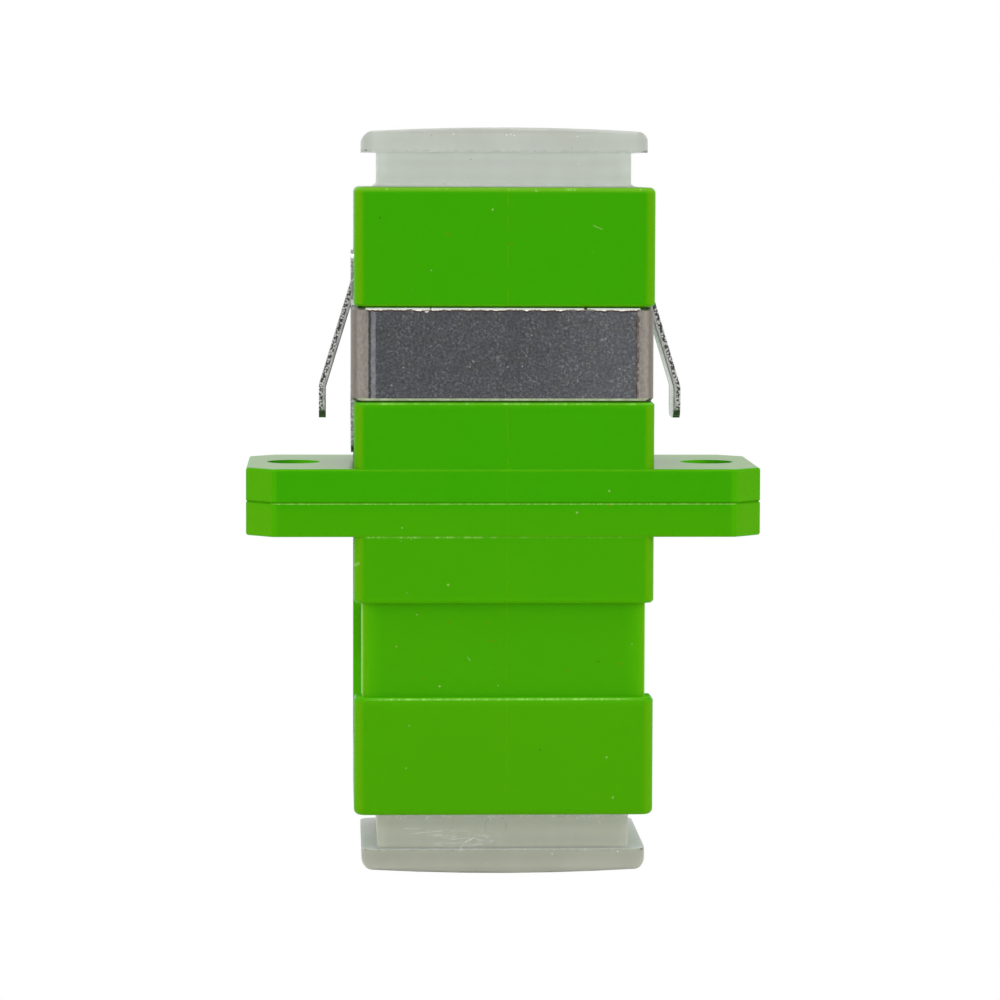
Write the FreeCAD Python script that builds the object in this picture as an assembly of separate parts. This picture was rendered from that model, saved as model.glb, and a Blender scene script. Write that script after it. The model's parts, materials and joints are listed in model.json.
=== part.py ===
import FreeCAD
import Part
import math
import os

# SC fibre adapter: two identical moulded housing halves joined at their flanges, a latch
# insert in each half, a split ceramic sleeve between the inserts, a snapped-on sheet metal
# mounting clip and a pull-off dust cap in each port.
# Millimetres. +Z runs along the fibre axis, X across the flange ears, and the clip's band is
# on the -Y face. The origin is on the fibre axis at the parting plane of the two halves.

# Port of one half, to the plug's standard
port_width = 9.1
port_depth = 7.5
port_corner = 0.4
port_lead_in = 0.25
keyway_width = 2.3
keyway_length = 4.6
keyway_corner = 0.3

# Housing half
side_wall = 1.85
front_wall = 0.9
half_length = 13.4
body_corner = 0.5
mouth_edge = 0.25
step_edge = 0.1

# Flange of one half
screw_spacing = 18.0
screw_hole = 2.3
ear_end = 2.0
flange_step = 0.05
flange_thickness = 1.45
flange_chamfer = 1.1
flange_edge = 0.12
seam_chamfer = 0.06

# Split sleeve
sleeve_length = 11.4
sleeve_bore = 2.5
sleeve_wall = 0.35
sleeve_slot = 0.55
sleeve_edge = 0.12

# Latch insert
plate_rim = 1.0
plate_side_rim = 0.8
plate_thickness = 1.15
plate_corner = 0.4
holder_wall = 0.7
holder_lip = 0.55
holder_edge = 0.2
arm_set_in = 0.7
arm_thickness = 0.8
arm_width = 3.0
arm_length = 7.9
arm_root = 0.3
hook_reach = 0.7
hook_face = 1.35
hook_land = 0.35
hook_lean = 0.1

# Mounting clip
sheet = 0.3
band_height = 3.94
band_edge = 0.1
clip_bend = 0.35
side_height = 8.6
side_width = 5.6
side_corner = 0.5
wing_width = 2.6
wing_top_margin = 1.34
wing_low_margin = 1.07
wing_tip_length = 1.36
wing_reach = 1.38
wing_bend_radius = 0.5
wing_tip_corner = 0.6
lance_gap = 0.12
grip_height = 2.0
grip_depth = 0.85
grip_bend = 0.15
grip_relief = 0.1

# Dust cap
neck_end_step = 1.0
neck_side_step = 0.65
neck_height = 1.47
neck_corner = 0.5
foot_overhang = 0.15
foot_thickness = 0.06
foot_blend = 0.1
lip_end_overhang = 0.675
lip_side_overhang = 0.5
lip_thickness = 0.88
lip_crown = 0.17
lip_corner = 0.6
lip_side_round = 0.5
lip_edge = 0.1
plug_wall = 0.8
plug_corner = 0.35
plug_length = 9.4
plug_lead_in = 0.3
tongue_width = 6.6

# Clearances
seat_gap = 0.05
seat_end_gap = 0.02
sleeve_play = 0.05
sleeve_end_play = 0.15
ferrule_room = 0.2
arm_flex_room = 0.7
arm_side_room = 0.3
arm_tip_room = 1.0
band_gap = 0.07
band_set_back = 0.02
side_gap = 0.1
clip_foot_gap = 0.57
clip_side_play = 0.08
clip_front_gap = 0.02
clip_corner_play = 0.05
grip_play = 0.15
cap_gap = 0.075
cap_rim_room = 0.7

# Worked out from the sizes above
body_width = port_width + 2 * side_wall
body_depth = port_depth + 2 * front_wall
flange_width = screw_spacing + 2 * ear_end
flange_depth = body_depth + 2 * flange_step
recess_depth = sheet + clip_front_gap + band_set_back
core_half_width = body_width / 2 - recess_depth
core_front = body_depth / 2 - recess_depth
core_corner = clip_bend + clip_corner_play

side_low = flange_thickness + clip_foot_gap
side_high = side_low + side_height
band_middle = (side_low + side_high) / 2
recess_low = band_middle - band_height / 2 - band_gap
recess_high = band_middle + band_height / 2 + band_gap
channel_back = side_width / 2 + side_gap
clip_inner = core_half_width + clip_side_play
clip_middle = clip_inner + sheet / 2

wing_root = side_high - wing_top_margin
window_low = side_low + wing_low_margin
wing_slope = wing_root - window_low - lance_gap - wing_tip_length
wing_bend = wing_root - math.sqrt(wing_slope ** 2 - wing_reach ** 2)
wing_tip = wing_bend - wing_tip_length

plate_width = body_width - 2 * plate_rim
plate_depth = body_depth - 2 * plate_side_rim
sleeve_diameter = sleeve_bore + 2 * sleeve_wall
holder_bore = sleeve_diameter + 2 * sleeve_play
holder_diameter = holder_bore + 2 * holder_wall
holder_length = sleeve_length / 2 + sleeve_end_play + holder_lip
holder_lip_bore = sleeve_bore + 2 * ferrule_room
arm_inner = port_width / 2 - arm_set_in
arm_outer = arm_inner + arm_thickness

neck_width = body_width - 2 * neck_end_step
neck_depth = body_depth - 2 * neck_side_step
lip_low = half_length + neck_height
lip_width = neck_width + 2 * lip_end_overhang
lip_depth = neck_depth + 2 * lip_side_overhang
plug_width = port_width - 2 * cap_gap
plug_depth = port_depth - 2 * cap_gap
plug_rim = arm_length + cap_rim_room
tongue_end = half_length - plug_length

OVERCUT = 1.0
TINY = 1e-6
X = FreeCAD.Vector(1, 0, 0)
Y = FreeCAD.Vector(0, 1, 0)
Z = FreeCAD.Vector(0, 0, 1)


def vector(x, y, z):
    return FreeCAD.Vector(x, y, z)


def box(low, high):
    size = high - low
    return Part.makeBox(size.x, size.y, size.z, low)


def centred_box(width, depth, low, high):
    return box(vector(-width / 2, -depth / 2, low), vector(width / 2, depth / 2, high))


def edges_along(shape, direction):
    """Straight edges parallel to a direction."""
    found = []
    for edge in shape.Edges:
        if isinstance(edge.Curve, Part.Line):
            if abs(abs(edge.Curve.Direction.dot(direction)) - 1) < TINY:
                found.append(edge)
    return found


def edges_at(shape, direction, distance):
    """Edges that lie wholly in the plane at this distance along a direction."""
    found = []
    for edge in shape.Edges:
        ends = [vertex.Point.dot(direction) for vertex in edge.Vertexes]
        middle = edge.valueAt((edge.FirstParameter + edge.LastParameter) / 2).dot(direction)
        if all(abs(value - distance) < 1e-4 for value in ends + [middle]):
            found.append(edge)
    return found


def rounded_block(width, depth, low, high, corner):
    block = centred_box(width, depth, low, high)
    return block.makeFillet(corner, edges_along(block, Z))


def both_sides(shape):
    """The shape and its mirror image in the YZ plane."""
    return shape.fuse(shape.mirror(vector(0, 0, 0), X))


def other_half(shape):
    """The same piece turned end for end about Y, as the lower half of the adapter."""
    turned = shape.copy()
    turned.rotate(vector(0, 0, 0), Y, 180)
    return turned


def corner_arc(before, corner, after, radius):
    """Tangent points and arc that round one corner of a path."""
    arriving = (corner - before).normalize()
    leaving = (after - corner).normalize()
    turn = arriving.getAngle(leaving)
    setback = radius * math.tan(turn / 2)
    inward = (leaving - arriving).normalize()
    middle = corner + inward * (radius / math.cos(turn / 2) - radius)
    start = corner - arriving * setback
    end = corner + leaving * setback
    return start, end, Part.Arc(start, middle, end).toShape()


def offset_path(points, normal, distance):
    """The path moved sideways in its plane, with mitred corners."""
    sides = []
    for start, end in zip(points, points[1:]):
        sides.append((end - start).normalize().cross(normal))
    moved = [points[0] + sides[0] * distance]
    for point, before, after in zip(points[1:-1], sides, sides[1:]):
        moved.append(point + (before + after) * (distance / (1 + before.dot(after))))
    moved.append(points[-1] + sides[-1] * distance)
    return moved


def bent_sheet(points, normal, thickness, radii, width):
    """A bent strip of sheet: its middle line, the inside radius of each bend and its width.

    The strip is extruded along the normal of the plane that holds the middle line.
    """
    edges = []
    previous = None
    for side in (1, -1):
        path = offset_path(points, normal, side * thickness / 2)
        radius_list = list(radii)
        corners = list(range(1, len(points) - 1))
        if side < 0:
            path.reverse()
            radius_list.reverse()
            corners.reverse()
        cursor = path[0]
        if previous is not None:
            edges.append(Part.LineSegment(previous, cursor).toShape())
        for index, (corner, inside) in enumerate(zip(corners, radius_list), start=1):
            turning = (points[corner] - points[corner - 1]).cross(
                points[corner + 1] - points[corner]).dot(normal)
            radius = inside + (thickness if turning * side > 0 else 0)
            start, end, arc = corner_arc(path[index - 1], path[index], path[index + 1], radius)
            edges.append(Part.LineSegment(cursor, start).toShape())
            edges.append(arc)
            cursor = end
        edges.append(Part.LineSegment(cursor, path[-1]).toShape())
        previous = path[-1]
    edges.append(Part.LineSegment(previous, edges[0].valueAt(edges[0].FirstParameter)).toShape())
    face = Part.Face(Part.Wire(edges))
    return face.extrude(normal * width)


def flange_plate():
    """One half of the flange: ears with chamfered corners and screw holes."""
    plate = centred_box(flange_width, flange_depth, 0, flange_thickness)
    plate = plate.makeChamfer(flange_chamfer, edges_along(plate, Z))
    plate = plate.makeChamfer(seam_chamfer, edges_at(plate, Z, 0))
    plate = plate.makeFillet(flange_edge, edges_at(plate, Z, flange_thickness))
    for side in (-1, 1):
        place = vector(side * screw_spacing / 2, 0, -OVERCUT)
        hole = Part.makeCylinder(screw_hole / 2, flange_thickness + 2 * OVERCUT, place)
        plate = plate.cut(hole)
    return plate


def housing_skin():
    """Outer form: a core with a step at each side of the clip's band, and a spine at the back."""
    step = rounded_block(body_width, body_depth, 0, recess_low, body_corner)
    step = step.makeChamfer(step_edge, edges_at(step, Z, recess_low))
    collar = rounded_block(body_width, body_depth, recess_high, half_length, body_corner)
    collar = collar.makeChamfer(step_edge, edges_at(collar, Z, recess_high))
    collar = collar.makeFillet(mouth_edge, edges_at(collar, Z, half_length))
    core = rounded_block(2 * core_half_width, 2 * core_front, 0, half_length - mouth_edge, core_corner)
    spine = rounded_block(body_width, body_depth, 0, half_length, body_corner)
    spine = spine.makeFillet(mouth_edge, edges_at(spine, Z, half_length))
    back = box(vector(-body_width, channel_back, -OVERCUT), vector(body_width, body_depth, 2 * half_length))
    return core.fuse([step, collar, spine.common(back)]).removeSplitter()


def clip_channels():
    """Shallow channels in the narrow faces for the clip's side plates, with a slot for each grip."""
    channel = box(
        vector(core_half_width, -channel_back, flange_thickness),
        vector(body_width, channel_back, side_high + side_gap))
    slot = box(
        vector(clip_inner - grip_depth - grip_play, side_width / 2 - sheet - grip_bend,
               band_middle - grip_height / 2 - side_gap),
        vector(body_width, channel_back, band_middle + grip_height / 2 + side_gap))
    return both_sides(channel.fuse(slot))


def rectangle(width, depth, height):
    half = vector(width / 2, depth / 2, 0)
    corners = [vector(-half.x, -half.y, height), vector(half.x, -half.y, height)]
    corners += [vector(half.x, half.y, height), vector(-half.x, half.y, height)]
    return Part.makePolygon(corners + corners[:1])


def port_cavity():
    """The plug's port, the keyway, the insert's seat and the pockets its arms spring into."""
    port = rounded_block(port_width, port_depth, 0, half_length + OVERCUT, port_corner)
    flare = Part.makeLoft([
        rectangle(port_width, port_depth, half_length - port_lead_in),
        rectangle(port_width + 2 * port_lead_in, port_depth + 2 * port_lead_in, half_length),
    ], True, True)
    keyway = box(
        vector(-keyway_width / 2, 0, half_length - keyway_length),
        vector(keyway_width / 2, body_depth, half_length + OVERCUT))
    keyway = keyway.makeFillet(keyway_corner, [
        edge for edge in edges_along(keyway, Y) if edge.CenterOfMass.z < half_length])
    seat = rounded_block(
        plate_width + 2 * seat_gap, plate_depth + 2 * seat_gap,
        -OVERCUT, plate_thickness + seat_end_gap, plate_corner)
    pockets = centred_box(
        2 * (arm_outer + arm_flex_room), arm_width + 2 * arm_side_room, 0, arm_length + arm_tip_room)
    return [port, flare, keyway, seat, pockets]


def housing_half():
    shell = housing_skin().fuse(flange_plate())
    for cutter in [clip_channels(), *port_cavity()]:
        shell = shell.cut(cutter)
    return shell.removeSplitter()


def latch_arm():
    """One spring arm with an inward hook, whose ramp lets the plug push past."""
    hook_low = arm_length - hook_face
    hook_high = hook_low + hook_lean + hook_land
    profile = [
        vector(arm_outer, 0, 0),
        vector(arm_outer, 0, arm_length),
        vector(arm_inner + hook_lean, 0, arm_length),
        vector(arm_inner - hook_reach, 0, hook_high),
        vector(arm_inner - hook_reach, 0, hook_low + hook_lean),
        vector(arm_inner, 0, hook_low),
        vector(arm_inner, 0, plate_thickness + arm_root),
        vector(arm_inner - arm_root, 0, plate_thickness),
        vector(arm_inner - arm_root, 0, 0),
    ]
    for point in profile:
        point.y = -arm_width / 2
    face = Part.Face(Part.makePolygon(profile + profile[:1]))
    return face.extrude(vector(0, arm_width, 0))


def latch_insert():
    """Base plate with the sleeve's holder in its middle and a latch arm at each side."""
    plate = rounded_block(plate_width, plate_depth, 0, plate_thickness, plate_corner)
    holder = Part.makeCylinder(holder_diameter / 2, holder_length)
    holder = holder.makeChamfer(holder_edge, edges_at(holder, Z, holder_length))
    insert = plate.fuse([holder, both_sides(latch_arm())])
    bore = Part.makeCylinder(holder_bore / 2, holder_length - holder_lip + OVERCUT, vector(0, 0, -OVERCUT))
    mouth = Part.makeCylinder(holder_lip_bore / 2, holder_length + OVERCUT)
    flare_start = holder_length - holder_edge
    flare = Part.makeCone(
        holder_lip_bore / 2, holder_lip_bore / 2 + holder_edge, holder_edge, vector(0, 0, flare_start))
    return insert.cut(bore.fuse([mouth, flare])).removeSplitter()


def split_sleeve():
    """Ceramic tube slit along its length, so that it springs onto both ferrules."""
    start = vector(0, 0, -sleeve_length / 2)
    tube = Part.makeCylinder(sleeve_diameter / 2, sleeve_length, start)
    tube = tube.cut(Part.makeCylinder(sleeve_bore / 2, sleeve_length, start))
    ends = edges_at(tube, Z, -sleeve_length / 2) + edges_at(tube, Z, sleeve_length / 2)
    tube = tube.makeChamfer(sleeve_edge, ends)
    slot = box(
        vector(-sleeve_slot / 2, 0, -sleeve_length),
        vector(sleeve_slot / 2, sleeve_diameter, sleeve_length))
    return tube.cut(slot)


def clip_side():
    """Side plate at +X, with a lanced wing and a notch that frees the grip's bend."""
    low = vector(clip_inner, -side_width / 2, side_low)
    high = vector(clip_inner + sheet, side_width / 2, side_high)
    plate = box(low, high)
    plate = plate.makeFillet(side_corner, edges_along(plate, X))
    window_half = wing_width / 2 + lance_gap
    window = box(
        vector(0, -window_half, window_low),
        vector(body_width, window_half, wing_root))
    window = window.makeFillet(lance_gap, edges_along(window, X))
    notch = box(
        vector(0, side_width / 2 - sheet - grip_bend, band_middle - grip_height / 2 - grip_relief),
        vector(body_width, side_width, band_middle + grip_height / 2 + grip_relief))
    return plate.cut(window.fuse(notch)).fuse(clip_wing())


def clip_wing():
    """Spring wing at +X: out and down from its root, then straight to a rounded tip."""
    start = -wing_width / 2
    middle_line = [
        vector(clip_middle, start, wing_root + sheet),
        vector(clip_middle, start, wing_root),
        vector(clip_middle + wing_reach, start, wing_bend),
        vector(clip_middle + wing_reach, start, wing_tip),
    ]
    wing = bent_sheet(middle_line, Y, sheet, [wing_bend_radius, wing_bend_radius], wing_width)
    outline = box(
        vector(0, -wing_width / 2, wing_tip),
        vector(2 * body_width, wing_width / 2, side_high))
    tip_edges = [edge for edge in edges_along(outline, X) if edge.CenterOfMass.z < wing_bend]
    return wing.common(outline.makeFillet(wing_tip_corner, tip_edges))


def band_line(low, grips):
    """Middle line of the band from one narrow face round the front to the other."""
    front = -core_front - clip_front_gap - sheet / 2
    rear = side_width / 2 - (sheet / 2 if grips else sheet + grip_bend)
    line = [vector(-clip_middle, rear, low), vector(-clip_middle, front, low)]
    line += [vector(clip_middle, front, low), vector(clip_middle, rear, low)]
    if grips:
        end = clip_inner - grip_depth
        line = [vector(-end, rear, low)] + line + [vector(end, rear, low)]
    return line


def mounting_clip():
    """One folded sheet: front band, side plates with wings, and grips that hook the housing.

    It sits pushed over to the -X side, by all its play.
    """
    low = band_middle - band_height / 2
    band = bent_sheet(band_line(low, False), Z, sheet, [clip_bend, clip_bend], band_height)
    front_face = core_front + clip_front_gap + sheet
    band = band.makeChamfer(band_edge, [
        edge for edge in edges_at(band, Y, -front_face) if abs(edge.tangentAt(0).x) > 0.5])
    low = band_middle - grip_height / 2
    radii = [grip_bend, clip_bend, clip_bend, grip_bend]
    grips = bent_sheet(band_line(low, True), Z, sheet, radii, grip_height)
    clip = band.fuse([grips, both_sides(clip_side())]).removeSplitter()
    clip.translate(vector(-clip_side_play, 0, 0))
    return clip


def cap_lip():
    """Closed outer plate of the cap, crowned across its width and rounded at its two ends."""
    half = lip_width / 2
    start = -lip_depth / 2
    high = lip_low + lip_thickness
    low_left = vector(-half, start, lip_low)
    low_right = vector(half, start, lip_low)
    high_left = vector(-half, start, high)
    high_right = vector(half, start, high)
    crown = vector(0, start, high + lip_crown)
    left_start, left_end, left_round = corner_arc(low_left, high_left, crown, lip_side_round)
    right_start, right_end, right_round = corner_arc(crown, high_right, low_right, lip_side_round)
    outline = Part.Wire([
        Part.LineSegment(low_right, low_left).toShape(),
        Part.LineSegment(low_left, left_start).toShape(),
        left_round,
        Part.Arc(left_end, crown, right_start).toShape(),
        right_round,
        Part.LineSegment(right_end, low_right).toShape(),
    ])
    lip = Part.Face(outline).extrude(vector(0, lip_depth, 0))
    face_edges = edges_at(lip, Y, start) + edges_at(lip, Y, -start)
    lip = lip.makeFillet(lip_edge, [edge for edge in face_edges if edge.CenterOfMass.z > high])
    return lip.common(rounded_block(lip_width, lip_depth, 0, 2 * half_length, lip_corner))


def cap_neck():
    """Neck under the lip, blended into the thin foot that seats on the port's mouth."""
    neck = rounded_block(neck_width, neck_depth, half_length, lip_low + lip_thickness / 2, neck_corner)
    foot = rounded_block(
        neck_width + 2 * foot_overhang, neck_depth + 2 * foot_overhang,
        half_length, half_length + foot_thickness, neck_corner + foot_overhang)
    waist = neck.fuse(foot)
    joint = []
    for edge in edges_at(waist, Z, half_length + foot_thickness):
        inside_x = all(abs(vertex.X) < neck_width / 2 + TINY for vertex in edge.Vertexes)
        inside_y = all(abs(vertex.Y) < neck_depth / 2 + TINY for vertex in edge.Vertexes)
        if inside_x and inside_y:
            joint.append(edge)
    return waist.makeChamfer(foot_blend, joint)


def cap_plug():
    """Hollow plug: a full rim near the mouth and two long tongues that clear the latch arms."""
    plug = rounded_block(plug_width, plug_depth, tongue_end, lip_low, plug_corner)
    side_room = box(
        vector(tongue_width / 2, -port_depth, 0),
        vector(port_width, port_depth, plug_rim))
    plug = plug.cut(both_sides(side_room))
    tongue_ends = edges_at(plug, Z, tongue_end)
    tongue_ends = [edge for edge in tongue_ends if abs(abs(edge.CenterOfMass.y) - plug_depth / 2) < TINY]
    plug = plug.makeChamfer(plug_lead_in, tongue_ends)
    rim_ends = edges_at(plug, Z, plug_rim)
    rim_ends = [edge for edge in rim_ends if abs(abs(edge.CenterOfMass.x) - plug_width / 2) < TINY]
    return plug.makeChamfer(plug_lead_in, rim_ends)


def dust_cap():
    """Soft pull-off cap, moulded in one piece."""
    cap = cap_lip().fuse([cap_neck(), cap_plug()])
    hollow = rounded_block(
        plug_width - 2 * plug_wall, plug_depth - 2 * plug_wall, 0, lip_low, plug_corner)
    return cap.cut(hollow).removeSplitter()


def build():
    os.makedirs("parts", exist_ok=True)
    halves = {"housing": housing_half(), "latch_insert": latch_insert(), "dust_cap": dust_cap()}
    nodes = {"split_sleeve": split_sleeve(), "mounting_clip": mounting_clip()}
    for name, shape in halves.items():
        nodes["upper_" + name] = shape
        nodes["lower_" + name] = other_half(shape)
    for name, shape in nodes.items():
        print(name, len(shape.Solids), shape.isValid(), round(shape.Volume, 3))
        piece = shape.Solids[0] if len(shape.Solids) == 1 else shape
        piece.exportStep("parts/" + name + ".step")


build()
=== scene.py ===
import json
import math
from functools import cached_property

import bpy
from mathutils import Matrix, Vector

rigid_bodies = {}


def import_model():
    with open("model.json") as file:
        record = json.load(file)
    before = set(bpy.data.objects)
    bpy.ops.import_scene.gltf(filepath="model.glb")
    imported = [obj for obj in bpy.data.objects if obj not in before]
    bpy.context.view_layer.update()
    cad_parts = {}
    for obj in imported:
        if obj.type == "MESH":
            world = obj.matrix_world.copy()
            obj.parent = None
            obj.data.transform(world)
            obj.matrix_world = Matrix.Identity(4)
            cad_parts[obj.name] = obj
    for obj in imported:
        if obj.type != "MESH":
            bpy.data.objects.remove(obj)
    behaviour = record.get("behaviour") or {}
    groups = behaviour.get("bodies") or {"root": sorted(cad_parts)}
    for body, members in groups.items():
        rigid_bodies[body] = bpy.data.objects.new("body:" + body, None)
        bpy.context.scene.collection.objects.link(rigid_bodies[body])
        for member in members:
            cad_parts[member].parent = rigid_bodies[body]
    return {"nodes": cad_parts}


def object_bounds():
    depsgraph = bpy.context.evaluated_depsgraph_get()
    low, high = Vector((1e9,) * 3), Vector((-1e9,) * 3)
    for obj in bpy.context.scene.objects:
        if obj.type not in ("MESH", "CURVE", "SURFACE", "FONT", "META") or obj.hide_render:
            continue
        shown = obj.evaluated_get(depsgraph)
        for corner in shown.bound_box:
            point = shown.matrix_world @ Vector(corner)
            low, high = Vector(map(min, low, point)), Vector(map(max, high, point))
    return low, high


for leftover in list(bpy.data.objects):
    bpy.data.objects.remove(leftover)

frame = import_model()
nodes = frame["nodes"]
cadBox = [list(corner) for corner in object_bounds()]
print("loaded", len(nodes), "nodes")

perMetre = 1000.0  # every place in the materials is in millimetres from the adapter's middle
frontMarks = (-3.7, -3.9)  # depths between which round marks on the front fade in


class Wire:
    # an output socket; a sum written with it adds Math nodes
    def __init__(self, finish, socket):
        self.finish = finish
        self.socket = socket

    def maths(self, operation, *values, clamped=False):
        settings = {"operation": operation, "use_clamp": clamped}
        return self.finish.node("ShaderNodeMath", settings, dict(enumerate(values)))

    def __add__(self, other):
        return self.maths("ADD", self, other)

    def __radd__(self, other):
        return self.maths("ADD", other, self)

    def __sub__(self, other):
        return self.maths("SUBTRACT", self, other)

    def __rsub__(self, other):
        return self.maths("SUBTRACT", other, self)

    def __mul__(self, other):
        return self.maths("MULTIPLY", self, other)

    def __rmul__(self, other):
        return self.maths("MULTIPLY", other, self)

    def __truediv__(self, other):
        return self.maths("DIVIDE", self, other)

    def __pow__(self, other):
        return self.maths("POWER", self, other)

    def __abs__(self):
        return self.maths("ABSOLUTE", self)

    def least(self, other):
        return self.maths("MINIMUM", self, other)

    def most(self, other):
        return self.maths("MAXIMUM", self, other)

    def clamp(self):
        return self.maths("ADD", self, 0.0, clamped=True)

    # 0 up to low and 1 from high on, smooth between; low may be the larger one
    def rise(self, low, high):
        if low > high:
            return 1 - self.rise(high, low)
        return self.finish.node("ShaderNodeMapRange", {"interpolation_type": "SMOOTHSTEP"},
                                {"Value": self, "From Min": low, "From Max": high})

    # 1 within half of middle, fading out over soft
    def stripe(self, middle, half, soft):
        return abs(self - middle).rise(half + soft, half)

    def output(self, name):
        return Wire(self.finish, self.socket.node.outputs[name])


class Finish:
    # the node tree of a material or world
    def __init__(self, owner):
        owner.use_nodes = True
        self.tree = owner.node_tree
        self.tree.nodes.clear()

    def node(self, kind, settings=None, inputs=None, output=0):
        made = self.tree.nodes.new(kind)
        for name, value in (settings or {}).items():
            setattr(made, name, value)
        for name, value in (inputs or {}).items():
            if isinstance(value, Wire):
                self.tree.links.new(value.socket, made.inputs[name])
            else:
                made.inputs[name].default_value = value
        return Wire(self, made.outputs[output]) if made.outputs else None

    # the piece's own place in millimetres, which moves with it
    @cached_property
    def place(self):
        return self.scaled(self.node("ShaderNodeTexCoord", output="Object"), perMetre)

    # x, y and z of that place
    @cached_property
    def spot(self):
        return self.split(self.place)

    # the surface's own direction, which turns with the piece
    @cached_property
    def facing(self):
        return self.split(self.node("ShaderNodeTexCoord", output="Normal"))

    def split(self, vector):
        first = self.node("ShaderNodeSeparateXYZ", inputs={0: vector})
        return first, first.output("Y"), first.output("Z")

    def scaled(self, vector, gain):
        return self.node("ShaderNodeVectorMath", {"operation": "SCALE"}, {0: vector, "Scale": gain})

    # the place, with each axis squeezed or drawn out
    def stretched(self, x, y, z):
        return self.node("ShaderNodeVectorMath", {"operation": "MULTIPLY"}, {0: self.place, 1: (x, y, z)})

    def noise(self, place, scale, detail=2.0, roughness=0.5):
        return self.node("ShaderNodeTexNoise", inputs={"Vector": place, "Scale": scale, "Detail": detail,
                                                       "Roughness": roughness})

    # distance from the nearest of many scattered points
    def dots(self, place, scale, jitter=1.0):
        return self.node("ShaderNodeTexVoronoi", inputs={"Vector": place, "Scale": scale,
                                                         "Randomness": jitter})

    # round marks on the front, each at its x and z
    def spots(self, centres, radius):
        flat = self.stretched(1, 0, 1)
        found = 0.0
        for cx, cz in centres:
            away = self.node("ShaderNodeVectorMath", {"operation": "DISTANCE"}, {0: flat, 1: (cx, 0, cz)},
                             output="Value")
            found = away.rise(radius, radius * 0.5) + found
        _, y, _ = self.spot
        return found * y.rise(*frontMarks)

    # short straight marks, each with its x, z, half length, half width and slant
    def scratches(self, lines):
        x, _, z = self.spot
        found = 0.0
        for cx, cz, length, width, slant in lines:
            cosine, sine = math.cos(slant), math.sin(slant)
            along = (x - cx) * cosine + (z - cz) * sine
            across = (z - cz) * cosine - (x - cx) * sine
            line = abs(along).rise(length, length * 0.5) * abs(across).rise(width * 1.6, width * 0.5)
            found = line + found
        return found

    def mix(self, factor, first, second):
        first, second = [(*tone, 1.0) if isinstance(tone, tuple) else tone for tone in (first, second)]
        return self.node("ShaderNodeMix", {"data_type": "RGBA"}, {0: factor, 6: first, 7: second}, output=2)

    def bump(self, height, strength, distance):
        return self.node("ShaderNodeBump", inputs={"Height": height, "Strength": strength,
                                                   "Distance": distance})

    def finished(self, **sockets):
        named = {name.replace("_", " "): value for name, value in sockets.items()}
        surface = self.node("ShaderNodeBsdfPrincipled", inputs=named)
        self.node("ShaderNodeOutputMaterial", inputs={"Surface": surface})


def material(name):
    made = bpy.data.materials.new(name)
    return made, Finish(made)


# a colour times one gain, or times one for each channel
def shaded(colour, gain):
    gains = gain if isinstance(gain, tuple) else (gain, gain, gain)
    return tuple(channel * share for channel, share in zip(colour, gains))


def dress(node, made):
    for slot in nodes[node].material_slots:
        slot.material = made
    print("dressed", node)


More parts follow.
